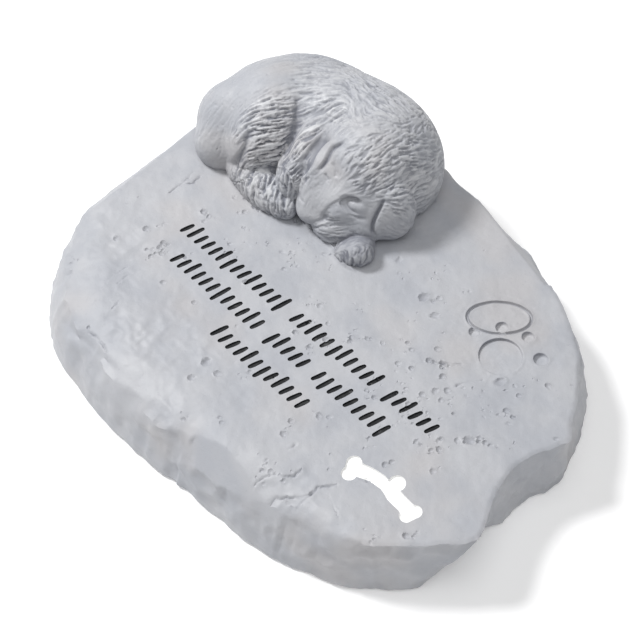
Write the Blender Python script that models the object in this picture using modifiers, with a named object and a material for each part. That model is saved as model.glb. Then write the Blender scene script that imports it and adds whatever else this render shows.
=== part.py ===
# Pet memorial stone: a cast slab with a sleeping puppy, an inscription, a paw print with a halo and a bone.
# Metres, +Z up. The origin is the middle of the underside, +X is the reading direction of the inscription
# and +Y runs from the inscription towards the puppy.

import math

import bmesh
import bpy
from mathutils import Euler, Matrix, Vector

# Slab
STONE_LENGTH = 0.220
STONE_DEPTH = 0.176
STONE_THICKNESS = 0.030
EDGE_ROLL = 0.004          # width of the worn round along the upper edge
EDGE_DROP = 0.0012         # how far the upper edge lies below the flat top
FOOT_ROUND = 0.002         # round of the lower edge
SHARP_ANGLE = 12           # edges that turn by more than this many degrees stay sharp

# Inscription: three rows of strokes cut into the top
STROKE_WIDTH = 0.0021
STROKE_END_WIDTH = 0.0014
STROKE_HEIGHT = 0.0064
STROKE_PITCH = 0.0042
STROKE_LEAN = 0.0019       # sideways run of a stroke from foot to head
STROKE_DEPTH = 0.0007
STROKE_RISE = 0.25         # how far a tall stroke stands above the others, in shares of their height
STROKE_DROP = 0.25         # how far a stroke with a tail goes below the row
TALL_EVERY = 4
TAIL_EVERY = 7
ROW_PITCH = 0.0130
INSCRIPTION_PLACE = (0.004, -0.0265)    # middle of the second row

# Paw print and halo
TOE_RADIUS = 0.0027
TOE_DEPTH = 0.0010
TOE_SPREAD = 0.0147        # from the middle of the pad to a toe
PAD_RADIUS = 0.0085
PAD_DEPTH = 0.0011
PAD_TILT = 3.6             # degrees, about PAD_AXIS, so that the pad runs out flush on its lower right
PAD_AXIS = (0.5, 0.85, 0.0)
HALO_LENGTH = 0.025
HALO_WIDTH = 0.015
HALO_GROOVE = 0.0014
HALO_TURN = 43
PAW_PLACE = (0.0635, 0.0290)            # middle of the pad
HALO_PLACE = (0.0513, 0.0422)

# Bone
BONE_LENGTH = 0.0345
BONE_DEPTH = 0.0008
BONE_PLACE = (0.0712, -0.0437)

# Puppy, cast in one with the slab
PUPPY_LENGTH = 0.100
PUPPY_PLACE = (-0.055, 0.044)
PUPPY_SINK = 0.004         # how far the fused forms reach down into the slab
PUPPY_FACES = 6000
FORM_GRAIN = 0.018         # grid that the forms are fused on, in shares of the length
SKIN_GRAIN = 0.009
SKIN_SMOOTHING = 4

# Rim of the flat top in shares of half the length and half the depth, counter-clockwise from the left end,
# and how far the foot stands outside it in shares of the thickness
OUTLINE = (
    (-0.985, -0.28, 0.09), (-0.93, -0.47, 0.22), (-0.85, -0.61, 0.33), (-0.745, -0.73, 0.38),
    (-0.62, -0.82, 0.36), (-0.48, -0.865, 0.33), (-0.36, -0.90, 0.30), (-0.18, -0.91, 0.29),
    (-0.05, -0.92, 0.24), (0.04, -0.89, 0.30), (0.17, -0.92, 0.19), (0.33, -0.865, 0.32),
    (0.46, -0.83, 0.33), (0.60, -0.805, 0.24), (0.73, -0.76, 0.14), (0.82, -0.66, 0.13),
    (0.915, -0.54, 0.10), (0.993, -0.405, 0.02), (0.955, -0.27, 0.04), (0.918, -0.15, 0.10),
    (0.905, -0.03, 0.13), (0.92, 0.06, 0.13), (0.955, 0.16, 0.10), (0.968, 0.23, 0.05),
    (0.923, 0.31, 0.10), (0.88, 0.41, 0.16), (0.81, 0.53, 0.20), (0.725, 0.625, 0.20),
    (0.595, 0.735, 0.20), (0.455, 0.81, 0.20), (0.33, 0.875, 0.16), (0.20, 0.88, 0.16),
    (0.10, 0.918, 0.13), (-0.035, 0.93, 0.13), (-0.155, 0.96, 0.11), (-0.29, 0.98, 0.05),
    (-0.43, 0.985, 0.03), (-0.565, 0.965, 0.06), (-0.70, 0.91, 0.10), (-0.81, 0.795, 0.10),
    (-0.89, 0.635, 0.10), (-0.945, 0.455, 0.10), (-0.977, 0.28, 0.06), (-0.963, 0.11, 0.06),
    (-0.98, -0.08, 0.06),
)
# Height of each ring of the side in shares of the thickness, and the share of the flare that it has
SIDE_RINGS = ((0.36, 0.85), (0.66, 0.55), (0.86, 0.22))
# Chisel cuts along the upper edge: outline point, turn and tilt in degrees, bite in shares of the thickness
CHIPS = (
    (2, 5, 34, 0.04), (4, -6, 48, 0.03), (7, 8, 40, 0.03), (10, 10, 40, 0.05), (12, -8, 48, 0.05),
    (14, -4, 30, 0.05), (26, -5, 52, 0.05), (29, 8, 46, 0.05), (32, -6, 50, 0.05), (43, 4, 46, 0.05),
)
# Words of the inscription: row, first and last stroke counted from the middle of the rows
WORDS = ((0, -17, -4), (0, -2, 8), (0, 10, 15), (1, -15, -4), (1, -2, 2), (1, 4, 12), (2, -6, 5))
TOE_ANGLES = (174, 130, 84, 39)

# Puppy forms in hundredths of its length: centre, radii and turns in degrees
ARCH = ((-1, 15, 8), (43, 26, 32), (0, 0, 0))
SHOULDER = ((21, 17, 10), (31, 26, 27), (0, 0, -8))
RIBS = ((7, 0, 12), (12, 24, 22), (0, 0, 4))
RUMP = ((-20, 1, 12), (26, 25, 27), (0, 0, 20))
FLANK = ((-30, -10, 13), (16, 14, 18), (0, 0, 20))
HOCK = ((-30, -19, 8), (11.5, 10, 13), (0, 0, 35))
THIGH = ((-13, -8, 16), (15, 20.5, 22), (0, 0, -14))
SKULL = ((25.5, 8, 19), (22, 23, 22), (0, 0, -25))
BROW = ((29, -8, 15), (14, 13, 12.5), (0, 0, 0))
RIGHT_EAR = ((49, -2, 12), (6, 10, 14), (0, -14, -42))
TAIL = ((-6, -22, 5), (22, 9, 9.5), (0, 0, -6))
BELLY = ((-2, -13, 0), (14, 9, 12), (0, 0, 0))
# Tapered limbs: both ends with their radii
MUZZLE = ((24, -8, 15, 9.5), (19, -19, 9, 7.4))
JAW = ((37, -11, 6, 10.5), (28, -20, 5, 6.5))
LEFT_EAR = ((15, 7, 32, 4.5), (11, -11, 22, 6))
PAW = ((47, -10, 5, 6.5), (46.5, -18, 5, 7))
# Forms that flow into each other: balls, limbs and rounds of smoothing
GROUPS = (
    ((ARCH, RUMP, FLANK, HOCK, THIGH), (), 7),
    ((ARCH, SHOULDER, RIBS), (), 9),
    ((SHOULDER, SKULL, BROW, RIGHT_EAR), (MUZZLE, JAW), 6),
    ((), (LEFT_EAR,), 1),
    ((), (PAW,), 1),
    ((TAIL, BELLY), (), 2),
)
# Lines pressed into the puppy: their points, depth and half width
CREASES = (
    (((-14, -21, 30), (-13, -25, 23.5), (-15, -27, 14), (-22, -26, 0)), 1.2, 2.4),
    (((45, 0, 24), (47.4, -4.4, 22.9), (48.9, -6.9, 19.6), (47.8, -10, 13.3), (50, -14, 6)), 1.6, 1.6),
    (((31, -24, 9), (32.5, -20.5, 16), (35, -17, 22)), 1.1, 1.1),
    (((35.5, -17, 22), (36, -14.5, 24), (39, -12.5, 23), (42, -10, 19.5)), 1.3, 1.3),
    (((39, -16, 20), (41, -14.5, 18), (42.5, -12.5, 16)), 0.8, 0.9),
    (((20, -4.5, 36.5), (18.5, -9, 32), (20, -11.5, 29.5), (19, -14.5, 23.5)), 1.6, 1.3),
    (((22, -11, 30.5), (24.5, -12.5, 29), (28.5, -14.5, 27)), 0.8, 1.0),
)
# Fur carved in broad locks: middle, reach, direction in which the grooves follow each other, pitch, depth
FUR = (
    ((-12, -18, 24), 16, (0.15, 0.70, 0.70), 4.0, 0.70),
    ((-10, -26, 9), 17, (1.0, 0.15, -0.35), 3.4, 0.55),
    ((6, -6, 34), 14, (-0.2, 0.85, 0.5), 3.8, 0.55),
    ((24, 24, 38), 22, (-0.5, 0.85, -0.1), 4.2, 0.45),
)


def clear_scene():
    for obj in list(bpy.data.objects):
        bpy.data.objects.remove(obj, do_unlink=True)


def new_collection(name):
    collection = bpy.data.collections.new(name)
    bpy.context.scene.collection.children.link(collection)
    return collection


def stone_material():
    material = bpy.data.materials.new("cast_stone")
    material.use_nodes = True
    shader = material.node_tree.nodes["Principled BSDF"]
    shader.inputs["Base Color"].default_value = (0.47, 0.49, 0.53, 1.0)
    shader.inputs["Roughness"].default_value = 0.85
    shader.inputs["Metallic"].default_value = 0.0
    return material


def object_from_bmesh(name, bm, collection):
    bmesh.ops.recalc_face_normals(bm, faces=bm.faces)
    mesh = bpy.data.meshes.new(name)
    bm.to_mesh(mesh)
    bm.free()
    obj = bpy.data.objects.new(name, mesh)
    collection.objects.link(obj)
    return obj


def make_cutter(obj):
    obj.hide_render = True
    obj.display_type = "WIRE"
    return obj


def evaluated_mesh(obj):
    bpy.context.view_layer.update()
    depsgraph = bpy.context.evaluated_depsgraph_get()
    return bpy.data.meshes.new_from_object(obj.evaluated_get(depsgraph))


# Slab

def outline_points():
    """Rim points and the matching foot points, two to each point of the outline."""
    rim = [Vector((x * STONE_LENGTH / 2, y * STONE_DEPTH / 2)) for x, y, flare in OUTLINE]
    count = len(rim)
    top = []
    foot = []
    for i in range(count):
        before, start, end, after = (rim[(i + k) % count] for k in (-1, 0, 1, 2))
        flares = [OUTLINE[(i + k) % count][2] * STONE_THICKNESS for k in (0, 1)]
        for share in (0.0, 0.5):
            bend = (start - before + end - after) * share * (1 - share) / 4
            point = start.lerp(end, share) + bend
            along = (end - before) if share == 0.0 else (end - start)
            outward = Vector((along.y, -along.x)).normalized()
            flare = flares[0] + (flares[1] - flares[0]) * share
            top.append(point)
            foot.append(point + outward * flare)
    return top, foot


def inset(points, distance):
    count = len(points)
    moved = []
    for i, point in enumerate(points):
        along = points[(i + 1) % count] - points[i - 1]
        inward = Vector((-along.y, along.x)).normalized()
        moved.append(point + inward * distance)
    return moved


def loft(bm, rings):
    """Joins closed rings of points, from the lowest to the highest, and closes both ends."""
    loops = [[bm.verts.new(point) for point in ring] for ring in rings]
    count = len(loops[0])
    for low, high in zip(loops, loops[1:]):
        for i in range(count):
            k = (i + 1) % count
            bm.faces.new((low[i], low[k], high[k], high[i]))
    bm.faces.new(list(reversed(loops[0])))
    bm.faces.new(loops[-1])


def chisel(bm, point, normal):
    """Cuts off what lies beyond a plane and closes the cut."""
    geometry = bm.verts[:] + bm.edges[:] + bm.faces[:]
    bmesh.ops.bisect_plane(bm, geom=geometry, dist=1e-7, plane_co=point, plane_no=normal, clear_outer=True)
    edges = [edge for edge in bm.edges if edge.is_boundary]
    bmesh.ops.holes_fill(bm, edges=edges, sides=0)


def make_slab(collection):
    top, foot = outline_points()
    rings = [[Vector((*point, 0.0)) for point in inset(foot, FOOT_ROUND)]]
    rings.append([Vector((*point, FOOT_ROUND)) for point in foot])
    for height, share in SIDE_RINGS:
        z = height * STONE_THICKNESS
        rings.append([Vector((*a.lerp(b, share), z)) for a, b in zip(top, foot)])
    edge = STONE_THICKNESS - EDGE_DROP
    rings.append([Vector((*point, edge)) for point in top])
    rings.append([Vector((*point, STONE_THICKNESS)) for point in inset(top, EDGE_ROLL)])
    bm = bmesh.new()
    loft(bm, rings)
    count = len(OUTLINE)
    for place, turn, tilt, bite in CHIPS:
        point = top[place * 2]
        along = top[(place * 2 + 2) % (2 * count)] - top[place * 2 - 2]
        outward = Vector((along.y, -along.x, 0.0)).normalized()
        outward.rotate(Euler((0.0, 0.0, math.radians(turn))))
        tilt = math.radians(tilt)
        normal = outward * math.cos(tilt) + Vector((0.0, 0.0, math.sin(tilt)))
        start = Vector((*point, STONE_THICKNESS)) - normal * bite * STONE_THICKNESS
        chisel(bm, start, normal)
    slab = object_from_bmesh("memorial_stone", bm, collection)
    slab.data.polygons.foreach_set("use_smooth", [abs(face.normal.z) < 0.9 for face in slab.data.polygons])
    slab.data.set_sharp_from_angle(angle=math.radians(SHARP_ANGLE))
    return slab


# Puppy

def add_ball(bm, centre, radii, turns):
    scale = PUPPY_LENGTH / 100
    place = Matrix.Translation(Vector(centre) * scale)
    turn = Euler([math.radians(angle) for angle in turns]).to_matrix().to_4x4()
    size = Matrix.Diagonal((*[radius * scale for radius in radii], 1.0))
    bmesh.ops.create_uvsphere(bm, u_segments=32, v_segments=20, radius=1.0, matrix=place @ turn @ size)


def add_limb(bm, limb):
    start, end = (Vector(part) for part in limb)
    steps = 6
    for i in range(steps + 1):
        x, y, z, radius = start.lerp(end, i / steps)
        add_ball(bm, (x, y, z), (radius, radius, radius), (0, 0, 0))


def fuse(name, bm, grain, smoothing, collection):
    """Turns overlapping closed forms into one skin and evens out its joins."""
    obj = object_from_bmesh(name, bm, collection)
    remesh = obj.modifiers.new("Remesh", "REMESH")
    remesh.mode = "VOXEL"
    remesh.voxel_size = grain * PUPPY_LENGTH
    if smoothing:
        smooth = obj.modifiers.new("Smooth", "SMOOTH")
        smooth.factor = 0.5
        smooth.iterations = smoothing
    mesh = evaluated_mesh(obj)
    bpy.data.objects.remove(obj, do_unlink=True)
    return mesh


def nearest_distance(point, line):
    best = 1.0
    for a, b in zip(line, line[1:]):
        along = b - a
        share = max(0.0, min(1.0, (point - a).dot(along) / along.length_squared))
        best = min(best, (point - a - along * share).length)
    return best


def carve(mesh):
    """Presses the creases and the fur locks into the skin, along its normals."""
    scale = PUPPY_LENGTH / 100
    lines = [([Vector(p) * scale for p in points], depth * scale, width * scale)
             for points, depth, width in CREASES]
    patches = []
    for middle, reach, across, pitch, depth in FUR:
        across = Vector(across).normalized()
        patches.append((Vector(middle) * scale, reach * scale, across, pitch * scale, depth * scale))
    moves = []
    for vertex in mesh.vertices:
        press = 0.0
        for points, depth, width in lines:
            distance = nearest_distance(vertex.co, points)
            press += depth * math.exp(-((distance / width) ** 2))
        for middle, reach, across, pitch, depth in patches:
            away = vertex.co - middle
            fade = max(0.0, 1 - (away.length / reach) ** 2)
            sway = away.cross(across).length / reach
            wave = abs(math.sin(math.pi * (away.dot(across) / pitch + 0.35 * math.sin(4 * sway))))
            press += depth * fade * (1 - wave)
        moves.append(vertex.normal * press)
    for vertex, move in zip(mesh.vertices, moves):
        vertex.co -= move


def make_puppy(collection):
    whole = bmesh.new()
    for i, (balls, limbs, smoothing) in enumerate(GROUPS):
        bm = bmesh.new()
        for ball in balls:
            add_ball(bm, *ball)
        for limb in limbs:
            add_limb(bm, limb)
        whole.from_mesh(fuse(f"form_{i}", bm, FORM_GRAIN, smoothing, collection))
    skin = fuse("skin", whole, SKIN_GRAIN, SKIN_SMOOTHING, collection)
    carve(skin)
    bm = bmesh.new()
    bm.from_mesh(skin)
    chisel(bm, Vector((0.0, 0.0, -PUPPY_SINK)), Vector((0.0, 0.0, -1.0)))
    puppy = object_from_bmesh("puppy", bm, collection)
    puppy.data.shade_smooth()
    puppy.location = (*PUPPY_PLACE, STONE_THICKNESS)
    decimate = puppy.modifiers.new("Decimate", "DECIMATE")
    decimate.ratio = min(1.0, PUPPY_FACES / (2 * len(puppy.data.polygons)))
    decimate.use_collapse_triangulate = True
    return make_cutter(puppy)


# Cutters

def prism(name, outlines, depth, collection):
    """Closed outlines on the top, cut down by a depth."""
    bm = bmesh.new()
    for outline in outlines:
        floor = [Vector((x, y, STONE_THICKNESS - depth)) for x, y in outline]
        roof = [Vector((x, y, STONE_THICKNESS + 2 * depth)) for x, y in outline]
        loft(bm, (floor, roof))
    return make_cutter(object_from_bmesh(name, bm, collection))


def arc(centre, radius, first, last, steps):
    points = []
    for i in range(steps + 1):
        angle = math.radians(first + (last - first) * i / steps)
        points.append((centre[0] + radius * math.cos(angle), centre[1] + radius * math.sin(angle)))
    return points


def stroke_outlines():
    outlines = []
    for row, first, last in WORDS:
        base = INSCRIPTION_PLACE[1] + (1 - row) * ROW_PITCH - STROKE_HEIGHT / 2
        for i in range(first, last + 1):
            rise = STROKE_RISE if (i + row) % TALL_EVERY == 0 else 0.0
            drop = STROKE_DROP if (3 * i + row) % TAIL_EVERY == 2 else 0.0
            foot = (INSCRIPTION_PLACE[0] + i * STROKE_PITCH - STROKE_LEAN / 2, base - drop * STROKE_HEIGHT)
            head = (foot[0] + STROKE_LEAN, base + (1 + rise) * STROKE_HEIGHT)
            middle = ((foot[0] + head[0]) / 2, (foot[1] + head[1]) / 2)
            outlines.append((
                (foot[0] - STROKE_END_WIDTH / 2, foot[1]), (foot[0] + STROKE_END_WIDTH / 2, foot[1]),
                (middle[0] + STROKE_WIDTH / 2, middle[1]),
                (head[0] + STROKE_END_WIDTH / 2, head[1]), (head[0] - STROKE_END_WIDTH / 2, head[1]),
                (middle[0] - STROKE_WIDTH / 2, middle[1]),
            ))
    return outlines


def bone_outline():
    """Two lobes at each end of an arched shaft, and one lobe on the shaft's back."""
    size = BONE_LENGTH / 100
    points = arc((-42, -1), 8.7, 40, 205, 7)
    points += arc((-37, -14), 8.7, 165, 375, 9)
    points += [(0, -4), (11, -8), (30, -9)]
    points += arc((40, -8), 7.8, 200, 330, 6)
    points += arc((43, 2), 7.8, -30, 140, 7)
    points += [(22, 8)]
    points += arc((7, 13), 9.5, -25, 200, 9)
    points += [(-15, 10)]
    return [(BONE_PLACE[0] + x * size, BONE_PLACE[1] + y * size) for x, y in points]


def make_toes(collection):
    toes = []
    for i, angle in enumerate(TOE_ANGLES):
        x = PAW_PLACE[0] + TOE_SPREAD * math.cos(math.radians(angle))
        y = PAW_PLACE[1] + TOE_SPREAD * math.sin(math.radians(angle))
        toes.append(arc((x, y), TOE_RADIUS, 0, 360 - 360 / 16, 15))
    return prism("cut_toes", toes, TOE_DEPTH, collection)


def make_pad(collection):
    cutter = prism("cut_pad", [arc((0.0, 0.0), PAD_RADIUS, 0, 360 - 360 / 28, 27)], PAD_DEPTH, collection)
    shift = Matrix.Translation((0.0, 0.0, -STONE_THICKNESS))
    lean = Matrix.Rotation(math.radians(PAD_TILT), 4, Vector(PAD_AXIS))
    cutter.matrix_world = Matrix.Translation((*PAW_PLACE, STONE_THICKNESS)) @ lean @ shift
    return cutter


def make_halo(collection):
    curve = bpy.data.curves.new("halo", "CURVE")
    curve.dimensions = "3D"
    curve.bevel_depth = HALO_GROOVE / 2
    curve.bevel_resolution = 1
    ring = curve.splines.new("POLY")
    count = 36
    ring.points.add(count - 1)
    for i, point in enumerate(ring.points):
        angle = 2 * math.pi * i / count
        point.co = (HALO_LENGTH / 2 * math.cos(angle), HALO_WIDTH / 2 * math.sin(angle), 0.0, 1.0)
    ring.use_cyclic_u = True
    guide = bpy.data.objects.new("halo", curve)
    collection.objects.link(guide)
    guide.location = (*HALO_PLACE, STONE_THICKNESS)
    guide.rotation_euler.z = math.radians(HALO_TURN)
    mesh = evaluated_mesh(guide)
    cutter = bpy.data.objects.new("cut_halo", mesh)
    collection.objects.link(cutter)
    cutter.matrix_world = guide.matrix_world.copy()
    bpy.data.objects.remove(guide, do_unlink=True)
    return make_cutter(cutter)


def combine(obj, other, operation):
    modifier = obj.modifiers.new(f"{operation.title()} {other.name}", "BOOLEAN")
    modifier.operation = operation
    modifier.solver = "EXACT"
    modifier.object = other


def main():
    clear_scene()
    parts = new_collection("Pet memorial stone")
    tools = new_collection("Cutters")
    stone = make_slab(parts)
    stone.data.materials.append(stone_material())
    combine(stone, make_puppy(tools), "UNION")
    combine(stone, prism("cut_strokes", stroke_outlines(), STROKE_DEPTH, tools), "DIFFERENCE")
    combine(stone, make_halo(tools), "DIFFERENCE")
    combine(stone, make_toes(tools), "DIFFERENCE")
    combine(stone, make_pad(tools), "DIFFERENCE")
    combine(stone, prism("cut_bone", [bone_outline()], BONE_DEPTH, tools), "DIFFERENCE")


main()
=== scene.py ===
import itertools
import math

import bpy
import numpy as np
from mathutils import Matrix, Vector
from mathutils.geometry import delaunay_2d_cdt


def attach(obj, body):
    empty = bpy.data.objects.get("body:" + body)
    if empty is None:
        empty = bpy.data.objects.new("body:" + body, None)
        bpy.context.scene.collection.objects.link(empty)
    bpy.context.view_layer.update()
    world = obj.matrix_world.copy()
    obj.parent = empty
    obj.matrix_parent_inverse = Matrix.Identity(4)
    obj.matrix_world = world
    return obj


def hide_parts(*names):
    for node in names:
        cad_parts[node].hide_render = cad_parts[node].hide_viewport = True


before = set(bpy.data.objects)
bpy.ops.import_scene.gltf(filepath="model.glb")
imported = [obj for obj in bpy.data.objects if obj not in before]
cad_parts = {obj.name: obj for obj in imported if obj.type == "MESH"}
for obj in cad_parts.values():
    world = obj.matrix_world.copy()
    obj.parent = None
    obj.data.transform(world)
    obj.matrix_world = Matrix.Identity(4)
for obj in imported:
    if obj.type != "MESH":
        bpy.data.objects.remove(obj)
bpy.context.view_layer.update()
mm = 0.001  # every size below is in millimetres

# Camera: on the right of the inscription, looking down at the stone
view = {
    "target": (3.0, -8.0, 30.0),
    "azimuth": 45.0,
    "elevation": 54.8,
    "distance": 620.0,
    "lens": 90.0,
    "sensor": 36.0,
}


def directionFrom(azimuth, elevation):
    a, e = math.radians(azimuth), math.radians(elevation)
    return np.array((math.sin(a) * math.cos(e), -math.cos(a) * math.cos(e), math.sin(e)))


def placeCamera():
    back = directionFrom(view["azimuth"], view["elevation"])
    data = bpy.data.cameras.new("camera")
    data.lens = view["lens"]
    data.sensor_width = view["sensor"]
    data.clip_start = 0.01
    camera = bpy.data.objects.new("camera", data)
    bpy.context.scene.collection.objects.link(camera)
    camera.location = Vector((np.array(view["target"]) + back * view["distance"]) * mm)
    camera.rotation_euler = Vector(back).to_track_quat("Z", "Y").to_euler()
    bpy.context.scene.camera = camera


placeCamera()
print("camera placed")


# Small tools for points

def noise(points, cell, seed):
    # smooth random values from -1 to 1 that change over about one cell: each corner of the grid
    # gets a scrambled number of its own
    points = np.asarray(points, float) / cell
    low = np.floor(points).astype(np.int64)
    part = points - low
    part = part * part * (3 - 2 * part)
    steps = np.array((73856093, 19349663, 83492791))[:points.shape[1]]
    total = np.zeros(len(points))
    for corner in itertools.product((0, 1), repeat=points.shape[1]):
        word = ((low + corner) * steps).sum(1) + seed * 7919
        word = word.astype(np.uint64) & 0xffffffff
        word = ((word ^ (word >> 15)) * 2246822519) & 0xffffffff
        word = ((word ^ (word >> 13)) * 3266489917) & 0xffffffff
        word = word ^ (word >> 16)
        weight = np.prod(np.where(corner, part, 1 - part), axis=1)
        total += weight * (word / 2.0 ** 31 - 1)
    return total


def layered(points, layers, level=0.0):
    # sizes of noise laid over each other: height, cell and seed of each
    return sum((height * noise(points, cell, seed) for height, cell, seed in layers), level)


def ridged(points, layers, level=0.0):
    # the same with sharp valleys
    return sum((height * np.abs(noise(points, cell, seed)) for height, cell, seed in layers), level)


def smoothStep(value, start, end):
    share = np.clip((value - start) / (end - start), 0, 1)
    return share * share * (3 - 2 * share)


def ramp(value, end):
    return np.clip(value / end, 0, 1)


def bell(value, width):
    return np.exp(-(value / width) ** 2)


def rotated(x, y, angle):
    return x * np.cos(angle) - y * np.sin(angle), x * np.sin(angle) + y * np.cos(angle)


def lineDistance(points, line, closed=False):
    # distance to a line of points, in two or three dimensions
    line = np.asarray(line, float)
    ends = np.roll(line, -1, axis=0) if closed else line[1:]
    best = np.full(len(points), 1e9)
    for start, end in zip(line if closed else line[:-1], ends):
        along = end - start
        share = np.clip((points - start) @ along / max(along @ along, 1e-12), 0, 1)
        away = points - start - share[:, None] * along
        best = np.minimum(best, (away * away).sum(1))
    return np.sqrt(best)


def inside(points, outline):
    outline = np.asarray(outline, float)
    odd = np.zeros(len(points), bool)
    for (x0, y0), (x1, y1) in zip(outline, np.roll(outline, -1, axis=0)):
        if y0 == y1:
            continue
        spans = (points[:, 1] < y0) != (points[:, 1] < y1)
        odd ^= spans & (points[:, 0] < x0 + (points[:, 1] - y0) * (x1 - x0) / (y1 - y0))
    return odd


def depthInside(points, outline, reach=3.0):
    # how far points lie inside an outline, negative outside, worked out only near it
    outline = np.asarray(outline, float)
    near = nearBox(points, outline, reach)
    found = np.full(len(points), -reach)
    if near.any():
        spots = points[near]
        away = lineDistance(spots, outline, closed=True)
        found[near] = np.where(inside(spots, outline), away, -away)
    return found


def inset(outline, distance):
    outline = np.asarray(outline, float)
    along = np.roll(outline, -1, axis=0) - np.roll(outline, 1, axis=0)
    inward = np.stack((-along[:, 1], along[:, 0]), axis=1)
    return outline + inward / np.linalg.norm(inward, axis=1)[:, None] * distance


def nearBox(points, shape, margin):
    # which points lie in the box round a shape
    return np.all((points > shape.min(0) - margin) & (points < shape.max(0) + margin), axis=1)


def smoothLoop(points, steps):
    # a closed curve through the points
    points = np.asarray(points, float)
    before, end, after = (np.roll(points, -k, axis=0) for k in (-1, 1, 2))
    made = []
    for i in range(steps):
        t = i / steps
        made.append(0.5 * (2 * points + (end - before) * t
                           + (2 * before - 5 * points + 4 * end - after) * t ** 2
                           + (3 * points - before - 3 * end + after) * t ** 3))
    return np.stack(made, axis=1).reshape(-1, points.shape[1])


def arc(centre, radius, first, last, steps):
    angles = np.radians(np.linspace(first, last, steps))
    return [(centre[0] + radius * math.cos(a), centre[1] + radius * math.sin(a)) for a in angles]


def hexGrid(low, high, cell):
    rows = np.arange(low[1], high[1], cell * 0.866)  # 0.866: height of a triangle with equal sides
    columns = np.arange(low[0], high[0], cell)
    x, y = np.meshgrid(columns, rows)
    x[1::2] += cell / 2
    return np.stack((x.ravel(), y.ravel()), axis=1)


def newPiece(name, points, faces, materials, slots=None, paintedLight=None):
    mesh = bpy.data.meshes.new(name)
    mesh.from_pydata([tuple(p) for p in np.asarray(points) * mm], [], [tuple(map(int, f)) for f in faces])
    for material in materials:
        mesh.materials.append(material)
    if slots is not None:
        mesh.polygons.foreach_set("material_index", np.asarray(slots, dtype=np.int32))
    if paintedLight is not None:
        mesh.attributes.new("paintedLight", "FLOAT", "POINT").data.foreach_set("value", paintedLight.astype(np.float32))
    mesh.update()
    piece = bpy.data.objects.new(name, mesh)
    bpy.context.scene.collection.objects.link(piece)
    return piece


def smoothShaded(piece):
    piece.data.polygons.foreach_set("use_smooth", np.ones(len(piece.data.polygons), bool))


# Finishes

class Wire:
    # a shader socket that can stand in sums
    def __init__(self, finish, socket):
        self.finish = finish
        self.socket = socket

    def maths(self, operation, *values):
        return self.finish.add("ShaderNodeMath", {"operation": operation}, values)

    def __add__(self, other):
        return self.maths("ADD", self, other)

    def __sub__(self, other):
        return self.maths("SUBTRACT", self, other)

    def __rsub__(self, other):
        return self.maths("SUBTRACT", other, self)

    def __mul__(self, other):
        return self.maths("MULTIPLY", self, other)

    def between(self, start, end):
        return self.finish.add("ShaderNodeMapRange", {"interpolation_type": "SMOOTHSTEP"},
                               (self, start, end, 0.0, 1.0))

    __radd__ = __add__
    __rmul__ = __mul__


class Finish:
    # one material and its nodes
    def __init__(self, name):
        self.material = bpy.data.materials.new(name)
        self.material.use_nodes = True
        self.tree = self.material.node_tree
        self.shader = self.tree.nodes["Principled BSDF"]

    def add(self, kind, settings=None, values=(), out=0):
        # values is a list in socket order or a dictionary by socket name
        node = self.tree.nodes.new(kind)
        for key, value in (settings or {}).items():
            setattr(node, key, value)
        for key, value in (values.items() if isinstance(values, dict) else enumerate(values)):
            self.plug(node.inputs[key], value)
        return Wire(self, node.outputs[out])

    def plug(self, socket, value):
        if isinstance(value, Wire):
            self.tree.links.new(value.socket, socket)
        elif socket.type == "RGBA":
            socket.default_value = (*value, 1.0)
        else:
            socket.default_value = value

    def mix(self, share, first, second):
        # the sockets of the Mix node that take colours have the numbers 6 and 7
        return self.add("ShaderNodeMix", {"data_type": "RGBA"}, {0: share, 6: first, 7: second}, out=2)

    def noise(self, size, detail=3.0, roughness=0.55, shift=(0.0, 0.0, 0.0)):
        place = self.add("ShaderNodeVectorMath", {"operation": "ADD"}, (self.where(), shift))
        return self.add("ShaderNodeTexNoise", None,
                        {"Vector": place, "Scale": 1.0 / (size * mm), "Detail": detail,
                         "Roughness": roughness})

    def where(self):
        return self.add("ShaderNodeTexCoord", out=3)  # place on the object itself

    def attribute(self, name):
        return self.add("ShaderNodeAttribute", {"attribute_name": name}, out=2)  # as one number

    def bump(self, height, distance, strength, below=None):
        values = {"Strength": strength, "Distance": distance * mm, "Height": height}
        if below is not None:
            values["Normal"] = below
        return self.add("ShaderNodeBump", None, values)

    def set(self, **values):
        for key, value in values.items():
            self.plug(self.shader.inputs[key.replace("_", " ")], value)
        return self.material


stonePaint = {
    "pale": (0.440, 0.447, 0.472),
    "cool": (0.385, 0.397, 0.430),
    "warm": (0.450, 0.440, 0.448),
    "warmShare": 0.7,
    "patch": 22.0,  # size of the tone patches
    "paintedLight": (0.190, 0.197, 0.230),  # painted shade in the folds, furrows, creases and pits; the specks take this dark tone too
    "paintedShadeShare": 0.9,
    "worn": (0.620, 0.625, 0.640),  # painted highlight on the ridges of the coat and the bridge of the nose
    "speckShare": 0.16,
    "grain": 0.45,  # size of the cast grain
    "swell": 2.6,  # size of the soft unevenness
    "swellDepth": 0.22,
    "roughness": 0.50,
    "gloss": 0.42,
}


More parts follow.
